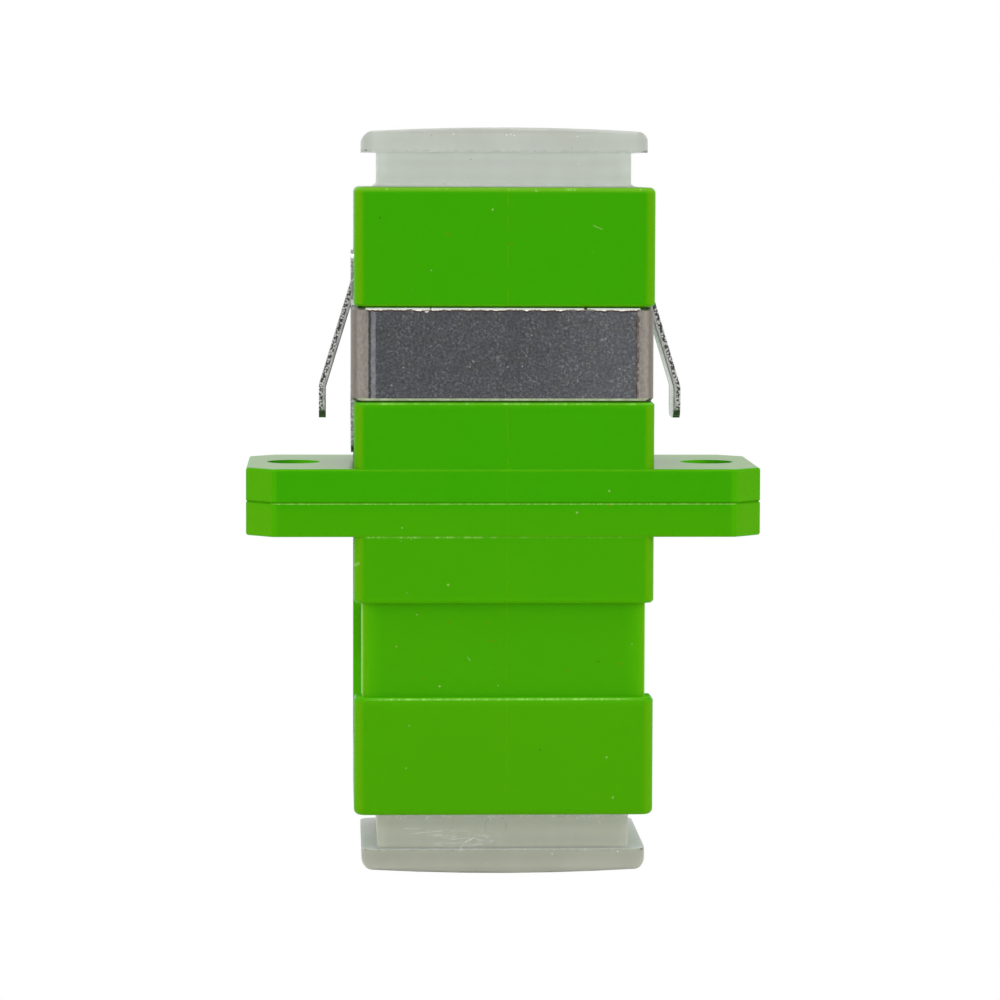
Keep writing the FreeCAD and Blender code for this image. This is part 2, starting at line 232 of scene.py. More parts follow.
# green moulded housing; a pair of places is where something starts to fade in and where it is full
green = {
    "colour": (0.044, 0.392, 0.0005),
    # painted warm bounce light on the lower half
    "bounceLitColour": (0.072, 0.400, 0.0005),
    # painted light on rounded edges, also the tone of random cloudiness and of the parting line
    "edgeColour": (0.115, 0.418, 0.0008),
    "glowColour": (0.085, 0.47, 0.0008),
    "mouthHighlightColour": (0.20, 0.51, 0.025),
    # painted light in the hollows and on the shaded ledge
    "litGreenColour": (0.12, 0.62, 0.002),
    "glintColour": (0.46, 0.87, 0.18),
    "paleColour": (0.36, 0.60, 0.16),
    "rustyColour": (0.22, 0.22, 0.01),
    "darkColour": (0.018, 0.11, 0.002),
    # painted shade: darker green under the gloss of faces that look up
    "topShadeColour": (0.088, 0.27, 0.002),
    "roughness": 0.28,
    "specular": 0.03,
    "topGloss": 0.56,
    "topGlossRoughness": 0.35,
    "grain": (0.2, 0.00001),  # strength, and depth in metres
    "front": (-4.15, -4.28),
    "belowJoint": (0.0, -0.5),
    "belowStep": (-8.3, -8.42),
    "belowFront": (2.8, -2.5),
    "uprightDepth": (4.0, -1.0),
    "earEnd": (9.5, 9.8),
    "flangeHeight": (1.5, 1.45),
    "mouthRim": (13.12, 13.42),
    "recessTop": (-4.3, -4.4),
    "recessFoot": (-8.38, -8.3),
    "recessSide": (5.1, 5.75),
    "recessDepth": (-3.7, -3.85),
    "ledgeHeight": (-6.0, -7.0),
    "partingDepth": (4.2, 4.3),
    "partingHeight": (1.3, 1.5),
    "spineDepth": (2.5, 2.7),
    "spineSide": (6.0, 6.05),
    "screwPlace": 9.0,
    "screwHole": (1.5, 1.4),  # squares of the radius
    "jointSide": (10.0, 9.8),
    "stepSide": (5.9, 4.8),
    "rootSide": (6.1, 5.6),
    "rootLeft": (0.5, -3.0),
    "glossSide": (5.0, 8.0),
    # start, full, last and end of each painted band of light, and its strength
    "glows": [(1.25, 1.42, 1.46, 1.5, 0.3), (-8.75, -8.42, -8.36, -8.3, 1.0), (3.98, 4.25, 4.3, 4.34, 1.0),
              (-3.9, -4.25, -4.3, -4.36, 0.45)],
    # middle, half width and soft rim of each line
    "earCornerLine": (9.8, 0.06, 0.12),
    "partingLine": (0.12, 0.015, 0.035),
    "jointLine": (-0.035, 0.016, 0.012),
    "jointShade": (0.04, 0.02, 0.015),
    "stepLine": (-8.405, 0.02, 0.025),
    "mouthLine": (13.3, 0.03, 0.04),
    "ledgeLine": (4.22, 0.03, 0.03),
    "rootLine": (-1.465, 0.02, 0.03),
    "paleRadius": 0.045,
    "paleSpots": [(-3.71, -4.80), (-4.58, -6.16), (-4.17, -11.35), (-4.04, -9.52), (-6.45, -2.68),
                  (-4.36, -1.05)],
    "rustyRadius": 0.075,
    "rustySpots": [(-3.42, -7.51), (-2.35, -5.11), (-0.71, -5.16), (2.72, -7.17), (0.26, 11.0)],
    "darkRadius": 0.05,
    "darkSpots": [(4.05, -6.82), (1.56, -10.57), (-5.3, 12.1)],
    "scratches": [(3.92, 11.71, 0.28, 0.018, -0.4), (-1.49, -6.7, 0.14, 0.02, -0.9),
                  (-3.97, -1.5, 0.07, 0.02, 1.4), (-6.28, -2.62, 0.17, 0.05, 0.6)],
}


# the plastic's own colour, with painted light on rounded edges and chamfers and a painted warm bounce light
# on the lower half
def greenTone(skin):
    x, y, z = skin.spot
    nx, ny, nz = skin.facing
    # painted warm bounce light: some on the lower half, full on the end below the lower recess
    low = z.rise(*green["belowStep"]).most(z.rise(*green["belowJoint"]) * 0.6)
    tone = skin.mix(low * y.rise(*green["belowFront"]), green["colour"], green["bounceLitColour"])
    cloud = skin.noise(skin.place, 0.35, 3.0)
    tone = skin.mix(cloud.rise(0.3, 0.7) * 0.06, tone, green["edgeColour"])
    # painted light on upright and level rounded edges and chamfers
    upright = abs(nx * ny).rise(0.05, 0.42) * (1 - abs(x).rise(*green["earEnd"]) * 0.45)
    upright = upright * y.rise(*green["uprightDepth"]).most(0.5)
    level = abs(nz * ny).rise(0.1, 0.45) * 0.5
    return skin.mix(upright.most(level), tone, green["edgeColour"])


# painted soft light just under each upper edge, beside the ears' corners and at the recess's sides, and a
# painted highlight on the mouth's rim
def greenGlow(skin, tone, onFront, recess):
    x, _, z = skin.spot
    glow = 0.0
    for start, full, last, end, strength in green["glows"]:
        glow = z.rise(start, full) * z.rise(end, last) * strength + glow
    glow = glow.most(abs(x).stripe(*green["earCornerLine"]) * abs(z).rise(*green["flangeHeight"]))
    glow = glow.most(abs(x).rise(*green["recessSide"]) * recess)
    tone = skin.mix(glow * onFront * 0.6, tone, green["glowColour"])
    return skin.mix(z.rise(*green["mouthRim"]) * onFront * 0.9, tone, green["mouthHighlightColour"])


# dust, specks in the plastic and small scratches, and how far they stand up
def greenMarks(skin, tone, onFront):
    pale = skin.dots(skin.place, 0.8).rise(0.05, 0.03)
    pale = pale.most(skin.spots(green["paleSpots"], green["paleRadius"]))
    rusty = skin.dots(skin.stretched(0.7, 0.7, 1.1), 0.6).rise(0.05, 0.025)
    rusty = rusty.most(skin.spots(green["rustySpots"], green["rustyRadius"]))
    dark = skin.dots(skin.place, 0.45).rise(0.02, 0.012)
    dark = dark.most(skin.spots(green["darkSpots"], green["darkRadius"]))
    scratched = skin.scratches(green["scratches"]) * onFront
    tone = skin.mix(pale * 0.75, tone, green["paleColour"])
    tone = skin.mix(rusty * 0.4, tone, green["rustyColour"])
    tone = skin.mix(dark * 0.75, tone, green["darkColour"])
    tone = skin.mix(scratched * 0.55, tone, green["paleColour"])
    return tone, (pale + scratched) * 2.0


# painted highlights: broken bright lines where an edge faces up and forward, and where the flange meets the
# body
def greenGlints(skin, onFront):
    x, _, z = skin.spot
    _, ny, nz = skin.facing
    drawn = skin.stretched(1.0, 0.2, 0.05)
    broken = skin.noise(drawn, 2.6, 3.0, 0.7)
    dashed = skin.noise(drawn, 5.5, 2.0, 0.7)
    joint = z.stripe(*green["jointLine"]) * abs(x).rise(*green["jointSide"])
    joint = joint * (dashed.rise(0.38, 0.62) * 0.42 + 0.2)
    step = z.stripe(*green["stepLine"]) * abs(x).rise(*green["stepSide"])
    step = step * (dashed.rise(0.4, 0.7) * 0.55 + 0.2)
    mouth = z.stripe(*green["mouthLine"]) * broken.rise(0.58, 0.7) * dashed.rise(0.4, 0.6) * 0.7
    ledge = z.stripe(*green["ledgeLine"]) * (broken.rise(0.45, 0.7) * 0.4 + 0.08)
    root = z.stripe(*green["rootLine"]) * abs(x).rise(*green["rootSide"])
    root = root * (x.rise(*green["rootLeft"]) * 0.7 + 0.3)
    root = root * (broken.rise(0.4, 0.65) * dashed.rise(0.4, 0.6) * 0.5 + 0.1)
    edge = nz.rise(0.2, 0.45) * ny.rise(-0.2, -0.45)
    return edge * (joint + step + mouth + ledge) + root * onFront


def greenPlastic():
    made, skin = material("greenPlastic")
    x, y, z = skin.spot
    nx, ny, nz = skin.facing
    onFront = y.rise(*green["front"])
    recess = z.rise(*green["recessTop"]) * z.rise(*green["recessFoot"])
    tone = greenGlow(skin, greenTone(skin), onFront, recess)
    # the mould's parting line down the middle of the front and back
    flow = skin.noise(skin.stretched(0.2, 0.2, 1.0), 1.2, 2.0)
    parting = x.stripe(*green["partingLine"]) * abs(y).rise(*green["partingDepth"]) * flow.rise(0.35, 0.6)
    parting = parting * (abs(z).rise(*green["partingHeight"]) * 0.6 + 0.4)
    tone = skin.mix(parting * 0.4, tone, green["edgeColour"])
    tone, raised = greenMarks(skin, tone, onFront)
    # painted light that gathers in the screw holes and on the spine's face beside the recess
    hole = ((abs(x) - green["screwPlace"]) ** 2.0 + y ** 2.0).rise(*green["screwHole"])
    spine = ny.rise(-0.9, -0.98) * y.rise(*green["spineDepth"]) * abs(x).rise(*green["spineSide"])
    tone = skin.mix(hole.most(spine) * 0.95, tone, green["litGreenColour"])
    # painted highlights on the recess's upright edges, where they catch light from the side
    rim = recess * abs(nx).rise(0.8, 0.95) * y.rise(*green["recessDepth"])
    tone = skin.mix((greenGlints(skin, onFront) + rim * 0.5).clamp(), tone, green["glintColour"])
    # the joint's upper edge lies in shade
    shade = z.stripe(*green["jointShade"]) * nz.rise(-0.2, -0.45) * ny.rise(-0.2, -0.45)
    tone = skin.mix(shade * 0.35, tone, green["darkColour"])
    # faces that look up have a soft gloss over a darker green, a painted shade, except the ledge under the
    # lower recess, which gets a painted lighter green
    flat = nz.rise(0.85, 0.98)
    ledge = z.rise(*green["ledgeHeight"])
    tone = skin.mix(flat, tone, skin.mix(ledge, green["topShadeColour"], green["litGreenColour"]))
    gloss = flat * (1 - x.rise(*green["glossSide"]) * 0.16) * (1 - ledge * 0.95) * green["topGloss"]
    fine = skin.noise(skin.place, 6.0, 4.0, 0.6)
    rough = green["roughness"] + (fine - 0.5) * (1 - flat) * 0.12 + (rim + flat * ledge) * 0.6
    grain = skin.bump((fine + raised + parting) * (1 - flat * 0.85), *green["grain"])
    skin.finished(Base_Color=tone, Roughness=rough, Normal=grain, Specular_IOR_Level=green["specular"],
                  Coat_Weight=gloss, Coat_Roughness=green["topGlossRoughness"])
    return made


# milky soft caps; the lower one is more worn, and its colour is painted darker and greyer as painted shade
bothCaps = {
    "cloudGains": (0.96, 1.04),
    "innerLightGains": ((1.36, 1.33, 1.62), (1.46, 1.42, 1.74)),
    "burrColour": (0.08, 0.08, 0.08),
    "ringColour": (0.1, 0.1, 0.1),
    "paleMarkAndShineColour": (0.86, 0.87, 0.84),
    "speckColour": (0.12, 0.12, 0.10),
    "roughness": 0.42,
    "specular": 0.3,
    "milk": 0.35,
    "milkReach": (0.001, 0.001, 0.0009),
    "grain": (0.2, 0.00002),
    "front": (-3.8, -3.9),
    "neckFoot": (13.3, 13.4),
    "neckFootLight": (13.85, 13.5),
    "neckHead": (14.9, 14.82),
    "neckHeadLight": 14.86,
    "neckSide": (5.1, 5.4),
    "lipStart": (14.8, 14.9),
    "lipEnds": (5.45, 5.95),
    "lipFoot": (14.88, 14.91),
    "lipFade": (15.65, 15.05),
    "lipEdge": (15.6, 15.72),
    "innerStart": (14.7, 14.8),
    "innerEnd": (14.95, 14.9),
    "innerDepth": (-1.0, 3.0),
    "innerFront": (-3.95, -4.05),
    "innerMiddle": (5.6, 5.3),
    "innerRight": (4.0, 5.5),
    "rimSide": (5.6, 5.8),
    "rimDepth": (4.15, 4.3),
    "rimCorner": (5.75, 5.9),
    "seatSide": (5.3, 5.0),
    "ringHeight": (-14.35, -13.95),
    "speckRadius": 0.05,
    # middle, half width and soft rim of each line
    "seatLine": (13.53, 0.035, 0.02),
    "burrLine": (14.91, 0.045, 0.03),
    "darkLine": (14.89, 0.025, 0.02),
    "paleLine": (14.9, 0.03, 0.02),
}
upperCap = {
    **bothCaps,
    "colour": (0.55, 0.58, 0.53),
    "neckLightGains": (1.175, 1.205),
    "liftStart": 14.35,
    "lipShadeGain": 0.0,
    "edgeShade": 0.85,
    "smudge": None,
    "ring": None,
    "scuffs": [],
    "specks": [(-2.2, 15.62), (0.05, 15.6), (0.22, 15.63), (0.37, 15.58), (3.05, 15.55)],
}
lowerCap = {
    **bothCaps,
    # painted shade: darker and greyer than the upper cap
    "colour": (0.475, 0.485, 0.405),
    "neckLightGains": (1.07, 1.1),
    "liftStart": 14.52,
    "lipShadeGain": -0.11,
    "edgeShade": 0.96,
    "smudge": (-2.0, -14.5, 2.4, 0.55),  # x, z, half width and half height
    "ring": (-0.32, -13.97, 0.45),  # x, z and radius
    "scuffs": [(-3.2, -14.2, 0.9, 0.02, 0.1), (-1.35, -14.5, 0.2, 0.035, 0.4),
               (-0.75, -14.4, 0.18, 0.03, -0.5), (-0.5, -14.6, 0.15, 0.03, 0.2),
               (-1.1, -14.75, 0.3, 0.03, 0.1), (-2.7, -14.8, 0.3, 0.02, -0.1),
               (-2.6, -14.35, 0.8, 0.015, -0.05), (-1.9, -14.5, 0.6, 0.02, 0.12),
               (-1.6, -14.62, 0.35, 0.03, 0.3), (-1.0, -14.55, 0.25, 0.025, -0.3),
               (-2.3, -14.68, 0.9, 0.02, 0.02), (-3.9, -14.05, 0.5, 0.015, 0.0),
               (-1.7, -14.75, 0.3, 0.03, 0.8)],
    "specks": [(-4.4, -13.6), (-3.3, -13.62), (-0.55, -13.62), (3.2, -13.6), (4.9, -14.98)],
}


# the plastic's own colour, with painted light and painted shade on the neck and lip
def capTone(skin, look):
    x, y, z = skin.spot
    _, _, nz = skin.facing
    height = abs(z)
    cloud = skin.noise(skin.place, 0.5, 3.0)
    streaks = skin.noise(skin.stretched(1.0, 1.0, 0.12), 2.2, 3.0, 0.6)
    colour = look["colour"]
    tone = skin.mix(cloud.rise(0.3, 0.7), *(shaded(colour, gain) for gain in look["cloudGains"]))
    # the neck is painted lighter, a painted light, and its flow shows as upright streaks
    neck = height.rise(*look["neckHead"]) * height.rise(*look["neckFoot"])
    dull, clear = (shaded(colour, gain) for gain in look["neckLightGains"])
    tone = skin.mix(neck, tone, skin.mix(streaks.rise(0.25, 0.75), dull, clear))
    # painted shade on the lip's two ends
    ends = abs(x).rise(*look["lipEnds"]) * height.rise(*look["lipStart"])
    tone = skin.mix(ends, tone, shaded(colour, look["edgeShade"]))
    # painted light in the neck's two corners, painted shade on its sides, along the lip's outer edge and on
    # the lower cap's lip
    corners = height.rise(look["liftStart"], look["neckHeadLight"]) * 0.22
    corners = corners + height.rise(*look["neckFootLight"]) * 0.16
    gain = neck * (corners - abs(x).rise(*look["neckSide"]) * 0.08) - height.rise(*look["lipEdge"]) * 0.08
    gain = gain + height.rise(*look["lipFoot"]) * height.rise(*look["lipFade"]) * look["lipShadeGain"]
    tone = skin.scaled(tone, gain + 1)
    # painted light on the lip's face on the body side, with painted shade on its front strip
    inner = skin.mix(streaks.rise(0.35, 0.65), *(shaded(colour, gains) for gains in look["innerLightGains"]))
    front = y.rise(*look["innerFront"]) * abs(x).rise(*look["innerMiddle"])
    gain = 1 - y.rise(*look["innerDepth"]) * 0.14 - front * 0.25 + x.rise(*look["innerRight"]) * 0.1
    inside = height.rise(*look["innerStart"]) * height.rise(*look["innerEnd"]) * abs(nz).rise(0.8, 0.95)
    return skin.mix(inside, tone, skin.scaled(inner, gain))


# moulding burrs along the lip's inner edge: the tone with the dark ones, and where the pale ones are
def capBurrs(skin, look, tone):
    x, y, z = skin.spot
    _, _, nz = skin.facing
    side, height = abs(x), abs(z)
    rim = side.rise(*look["rimSide"]).most(abs(y).rise(*look["rimDepth"])) * abs(nz).rise(0.8, 0.5)
    burr = height.stripe(*look["burrLine"]) * rim * skin.noise(skin.place, 7.0, 3.0, 0.7).rise(0.46, 0.6)
    line = height.stripe(*look["darkLine"]) * rim * 0.05
    burr = burr * (side.rise(*look["rimCorner"]) * 0.67 + 0.19)
    pale = height.stripe(*look["paleLine"]) * rim * skin.noise(skin.place, 4.0, 2.0, 0.6).rise(0.62, 0.7)
    return skin.mix(burr.most(line), tone, look["burrColour"]), pale


# scratches and a rubbed patch on the front
def capScuffs(skin, look, fine, onFront):
    x, _, z = skin.spot
    scuffed = skin.scratches(look["scuffs"]) * fine.rise(0.35, 0.5) * onFront
    if look["smudge"]:
        cx, cz, wide, high = look["smudge"]
        area = (((x - cx) / wide) ** 2.0 + ((z - cz) / high) ** 2.0).rise(1.0, 0.2)
        brushed = skin.noise(skin.stretched(0.7, 0.5, 2.2), 3.2, 4.0, 0.7).rise(0.48, 0.64)
        scuffed = scuffed.most(area * brushed * onFront * 0.55)
    return scuffed


def capPlastic(name, look):
    made, skin = material(name)
    x, y, z = skin.spot
    fine = skin.noise(skin.place, 5.0, 4.0, 0.6)
    onFront = y.rise(*look["front"])
    tone, paleBurr = capBurrs(skin, look, capTone(skin, look))
    scuffed = capScuffs(skin, look, fine, onFront)
    if look["ring"]:
        cx, cz, radius = look["ring"]
        away = ((x - cx) ** 2.0 + (z - cz) ** 2.0) ** 0.5
        ringed = away.stripe(radius, 0.02, 0.02) * z.rise(*look["ringHeight"]) * onFront
        ringed = ringed * fine.rise(0.42, 0.55)
        tone = skin.mix(ringed * 0.22, tone, look["ringColour"])
    # caught dust, and a painted highlight as a bright line where the neck meets the body
    dust = skin.dots(skin.place, 1.1).rise(0.05, 0.03)
    dust = dust.most(skin.spots(look["specks"], look["speckRadius"]))
    dark = skin.dots(skin.stretched(1.2, 0.9, 1.0), 0.9).rise(0.04, 0.02)
    shine = skin.noise(skin.stretched(1.0, 1.0, 0.1), 1.5, 3.0, 0.7).rise(0.5, 0.58)
    seat = abs(z).stripe(*look["seatLine"]) * shine * abs(x).rise(*look["seatSide"])
    pale = scuffed * 0.5 + paleBurr * 0.35 + dust * 0.6 + seat * 0.5
    tone = skin.mix(pale.clamp(), tone, look["paleMarkAndShineColour"])
    tone = skin.mix(dark * 0.45, tone, look["speckColour"])
    rough = look["roughness"] + (fine - 0.5) * 0.15 + scuffed * 0.1
    grain = skin.bump(fine + scuffed * 3.0 + dust, *look["grain"])
    skin.finished(Base_Color=tone, Roughness=rough, Normal=grain, Specular_IOR_Level=look["specular"],
                  Subsurface_Weight=look["milk"], Subsurface_Radius=look["milkReach"], Subsurface_Scale=1.0)
    return made


# spring steel sheet, with warm-grey bends painted lighter as a painted reflection, and torn sheared edges
steel = {
    "dark": (0.125, 0.13, 0.14),
    "light": (0.52, 0.53, 0.55),
    "blue": (0.225, 0.24, 0.27),
    "brown": (0.233, 0.236, 0.24),
    # white of the painted highlights
    "white": (1.0, 1.0, 0.98),
    "reddishBrown": (0.16, 0.06, 0.045),
    "speckColour": (0.9, 0.9, 0.88),
    "scratchColour": (0.85, 0.85, 0.85),
    "bendColour": (0.25, 0.225, 0.195),
    "bendFrontSheenColour": (0.68, 0.62, 0.55),
    "bendGrit": (0.12, 0.10, 0.085),
    "creaseShadeColour": (0.10, 0.085, 0.08),
    "stripReflectionColour": (0.63, 0.64, 0.67),
    "tornColours": ((0.08, 0.08, 0.08), (0.86, 0.85, 0.83)),
    "rolledColours": ((0.48, 0.47, 0.46), (0.80, 0.79, 0.77)),
    "outlineColour": (0.12, 0.12, 0.12),
    "wingBackLightColours": ((0.8, 0.8, 0.79), (0.96, 0.96, 0.95)),
    "farEdgeColour": (0.3, 0.3, 0.3),
    "tipReflectionColour": (0.03, 0.09, 0.015),
    "gapColour": (0.25, 0.17, 0.14),
    "lowEdgeReflectionColours": ((0.66, 0.62, 0.50), (0.84, 0.81, 0.70)),
    "roughness": 0.36,
    "metallic": 0.9,
    "grain": (0.3, 0.00002),
    "middle": -0.08,
    "leftHalf": (0.1, -0.1),
    "bandRight": (0.5, 5.0),
    "bandFace": (-4.4, -4.5),
    "scratchFace": (-4.5, -4.6),
    "bandBend": (-3.3, -3.5),
    "bendStart": (5.69, 5.73),
    "shearedDepth": (-3.4, -3.2),
    "bandEdgeDepth": (-4.1, -3.9),
    "topEdge": (8.19, 8.205),
    "topEdgeSide": (5.86, 5.8),
    "flatSide": (5.8, 5.74),
    "lowEdge": (4.43, 4.405),
    "tornDepth": (-1.9, -2.4),
    "rolledStart": (0.15, 0.19),
    "outlineStart": (0.24, 0.28),
    "tipHeight": (3.78, 3.62),
    "tipSide": (6.9, 7.0),
    "plateDepth": (-2.2, -2.4),
    "wingDepth": (-2.0, -1.6),
    "wingFarEdge": (0.6, 0.9),
    "plateOutside": 6.44,
    "wingRoot": 9.28,
    "wingSlope": 0.3065,
    "wingReach": 7.82,
    "wander": 0.16,
    "wave": 0.3,
    # middle, half width and soft rim of each line
    "creaseLine": (5.66, 0.02, 0.05),
    "stripLine": (5.50, 0.06, 0.07),
    "reddishBrownLine": (5.71, 0.05, 0.05),
    "underLine": (8.165, 0.025, 0.02),
    "plateHead": (10.44, 0.07, 0.05),
    "bandCorner": (8.47, 0.09, 0.06),
    "gaps": [(3.42, 0.05, 0.04, 1.0), (-3.15, 0.02, 0.03, 0.7)],  # the same, and each one's strength
    "blobRadius": 0.13,
    "blobs": [(-3.33, 8.19)],
    "speckRadius": 0.045,
    "specks": [(0.12, 5.8), (0.74, 5.82), (4.28, 7.0), (4.12, 6.97), (4.88, 5.71), (-1.49, 5.8),
               (-4.81, 5.01), (-4.31, 5.76), (-1.35, 6.03), (1.14, 7.14), (5.38, 7.88), (3.1, 5.2)],
    "scratches": [(0.97, 5.41, 0.34, 0.012, -0.82), (1.27, 5.18, 0.14, 0.018, 0.0),
                  (0.85, 6.35, 0.3, 0.01, -0.9), (-0.25, 6.2, 0.2, 0.01, 0.7)],
}


# the rolled sheet's mottled grey, a little lighter to the right on the band
def sheetTone(skin, fine, onFace):
    x, _, _ = skin.spot
    blotch = skin.noise(skin.place, 1.3, 4.0, 0.6)
    hue = skin.noise(skin.stretched(0.8, 1.0, 1.2), 0.9, 3.0, 0.6)
    fleck = skin.noise(skin.place, 8.0, 3.0, 0.65).rise(0.48, 0.68) * (blotch.rise(0.35, 0.65) * 0.8 + 0.2)
    tint = skin.mix(hue.rise(0.4, 0.6), steel["blue"], steel["brown"])
    tone = skin.mix(fine.rise(0.3, 0.7), steel["dark"], tint)
    tone = skin.mix(fleck * 0.75, tone, steel["light"])
    tone = skin.scaled(tone, x.rise(*steel["bandRight"]) * onFace * 0.28 + 1)
    spark = skin.dots(skin.place, 2.2).rise(0.07, 0.03)
    spark = spark.most(skin.spots(steel["specks"], steel["speckRadius"]))
    return skin.mix(spark * 0.7, tone, steel["speckColour"])


# the bends, painted lighter and warmer as a painted reflection, with a dark creased line beside them as
# painted shade and a pale strip beside that as a painted reflection
def bendTone(skin, tone, out, left):
    _, y, _ = skin.spot
    _, ny, _ = skin.facing
    grain = skin.noise(skin.stretched(1.0, 1.0, 0.6), 9.0, 4.0, 0.75).rise(0.35, 0.65)
    bend = skin.mix(ny.rise(-0.7, -0.97), steel["bendColour"], steel["bendFrontSheenColour"])
    bend = skin.mix(grain * 0.32, bend, steel["bendGrit"])
    onBand = y.rise(*steel["bandBend"])
    tone = skin.mix(out.rise(*steel["bendStart"]) * onBand, tone, bend)
    wander = (skin.noise(skin.stretched(0.1, 0.1, 1.0), 2.5, 4.0, 0.7) - 0.5) * steel["wander"]
    crease = (out + wander).stripe(*steel["creaseLine"]) * onBand * left
    tone = skin.mix(crease * (grain * 0.5 + 0.25), tone, steel["creaseShadeColour"])
    strip = (out + wander * 0.5).stripe(*steel["stripLine"]) * onBand * left
    tone = skin.mix(strip * (1 - grain * 0.5) * 0.85, tone, steel["stripReflectionColour"])
    # a reddish-brown line along the right bend's edge
    reddishBrown = (out + wander).stripe(*steel["reddishBrownLine"]) * onBand * (1 - left) * grain.rise(0.2, 0.7)
    return skin.mix(reddishBrown * 0.6, tone, steel["reddishBrown"])


# the wings' faces towards the body, painted light, and cut edges, whose outer half is torn and dotted and
# the inner half rolled smooth; the wing tips get a painted green reflection
def edgeTone(skin, tone, out, torn, sheared, onWing, hidden):
    _, y, z = skin.spot
    slope = (steel["wingRoot"] - z) * steel["wingSlope"] + steel["plateOutside"]
    inward = slope.least(steel["wingReach"]).most(steel["plateOutside"]) - out
    rolled = skin.noise(skin.stretched(2.0, 1.0, 0.4), 8.0, 3.0, 0.7).rise(0.38, 0.62)
    tone = skin.mix(hidden, tone, skin.mix(rolled, *steel["wingBackLightColours"]))
    # darker towards the wings' back edges
    tone = skin.mix(hidden * y.rise(*steel["wingFarEdge"]), tone, steel["farEdgeColour"])
    dotted = skin.mix(torn.most(y.rise(*steel["tornDepth"]) * 0.45), *steel["tornColours"])
    smooth = skin.mix(rolled, *steel["rolledColours"])
    smooth = skin.mix(inward.rise(*steel["outlineStart"]) * 0.8, smooth, steel["outlineColour"])
    tone = skin.mix(sheared, tone, skin.mix(inward.rise(*steel["rolledStart"]) * onWing, dotted, smooth))
    tip = sheared * z.rise(*steel["tipHeight"]) * out.rise(*steel["tipSide"])
    return skin.mix(tip * 0.85, tone, steel["tipReflectionColour"])


# the band's own edges: a bright broken line above as a painted highlight, a pale one below as a painted
# reflection; also says where each lies
def bandTone(skin, tone, out, onFace):
    x, _, z = skin.spot
    _, _, nz = skin.facing
    jag = skin.noise(skin.stretched(1.0, 0.1, 0.1), 2.0, 4.0, 0.7)
    wave = (jag - 0.5) * steel["wave"]
    gap = jag.rise(0.33, 0.28) * 0.6
    for middle, half, soft, strength in steel["gaps"]:
        gap = gap.most(x.stripe(middle, half, soft) * strength)
    topEdge = (z + wave).rise(*steel["topEdge"]) * onFace * out.rise(*steel["topEdgeSide"])
    tone = skin.mix(topEdge, tone, skin.mix(gap, steel["white"], steel["gapColour"]))
    # a painted highlight: a white blob on the band's upper edge
    blob = skin.spots(steel["blobs"], steel["blobRadius"])
    tone = skin.mix(blob, tone, steel["white"])
    flatFace = onFace * out.rise(*steel["flatSide"])
    # a reddish-brown line just under the band's top edge
    under = (z + wave).stripe(*steel["underLine"]) * flatFace
    tone = skin.mix(under * jag.rise(0.3, 0.5) * 0.8, tone, steel["reddishBrown"])
    lowEdge = (nz.rise(-0.3, -0.5) * onFace).most((z + wave * 0.4).rise(*steel["lowEdge"]) * flatFace)
    tone = skin.mix(lowEdge, tone, skin.mix(jag.rise(0.4, 0.6), *steel["lowEdgeReflectionColours"]))
    return tone, (topEdge * (1 - gap)).most(blob), under, lowEdge


def springSteel():
    made, skin = material("springSteel")
    x, y, z = skin.spot
    nx, ny, nz = skin.facing
    fine = skin.noise(skin.place, 10.0, 5.0, 0.75)
    torn = skin.dots(skin.place, 9.0, 0.8).rise(0.56, 0.36)
    out = abs(x - steel["middle"])  # how far out from the clip's middle
    left = x.rise(*steel["leftHalf"])
    onFace = y.rise(*steel["bandFace"])
    onWing = y.rise(*steel["wingDepth"])
    hidden = (nx * x).rise(-3.5, -5.5) * onWing  # the wings' faces towards the body
    # cut edges of the plates and wings
    sheared = abs(ny).rise(0.85, 0.95) * y.rise(*steel["shearedDepth"])
    sheared = sheared.most(abs(nz).rise(0.75, 0.9) * y.rise(*steel["bandEdgeDepth"]))
    scratched = skin.scratches(steel["scratches"]) * y.rise(*steel["scratchFace"]) * fine.rise(0.38, 0.5)
    tone = skin.mix(scratched * 0.4, sheetTone(skin, fine, onFace), steel["scratchColour"])
    tone = bendTone(skin, tone, out, left)
    tone = edgeTone(skin, tone, out, torn, sheared, onWing, hidden)
    tone, bright, under, lowEdge = bandTone(skin, tone, out, onFace)
    # painted highlights at the left plate's upper end and beside the band's upper corner
    corner = z.stripe(*steel["plateHead"]) * abs(nx).rise(0.5, 0.3) * y.rise(*steel["plateDepth"])
    corner = corner.most(z.stripe(*steel["bandCorner"]) * sheared) * (1 - onWing) * left
    tone = skin.mix(corner, tone, steel["white"])
    metal = steel["metallic"] - sheared * 0.75 - bright * 0.85 - corner * 0.15 - lowEdge * 0.55
    height = fine * (1 - sheared) + torn * sheared * 2.5 + scratched - under
    grain = skin.bump(height, *steel["grain"])
    rough = steel["roughness"] - hidden * 0.1 + (fine - 0.5) * 0.2
    skin.finished(Base_Color=tone, Metallic=metal, Roughness=rough, Normal=grain)
    return made


# natural moulded plastic of the inserts and ground ceramic of the sleeve
insert = {"colour": (0.78, 0.77, 0.72), "roughness": 0.4, "grain": (0.15, 0.00001), "rings": 1.0}
sleeve = {"colour": (0.86, 0.86, 0.84), "roughness": 0.18, "grain": (0.15, 0.00001), "rings": 6.0}


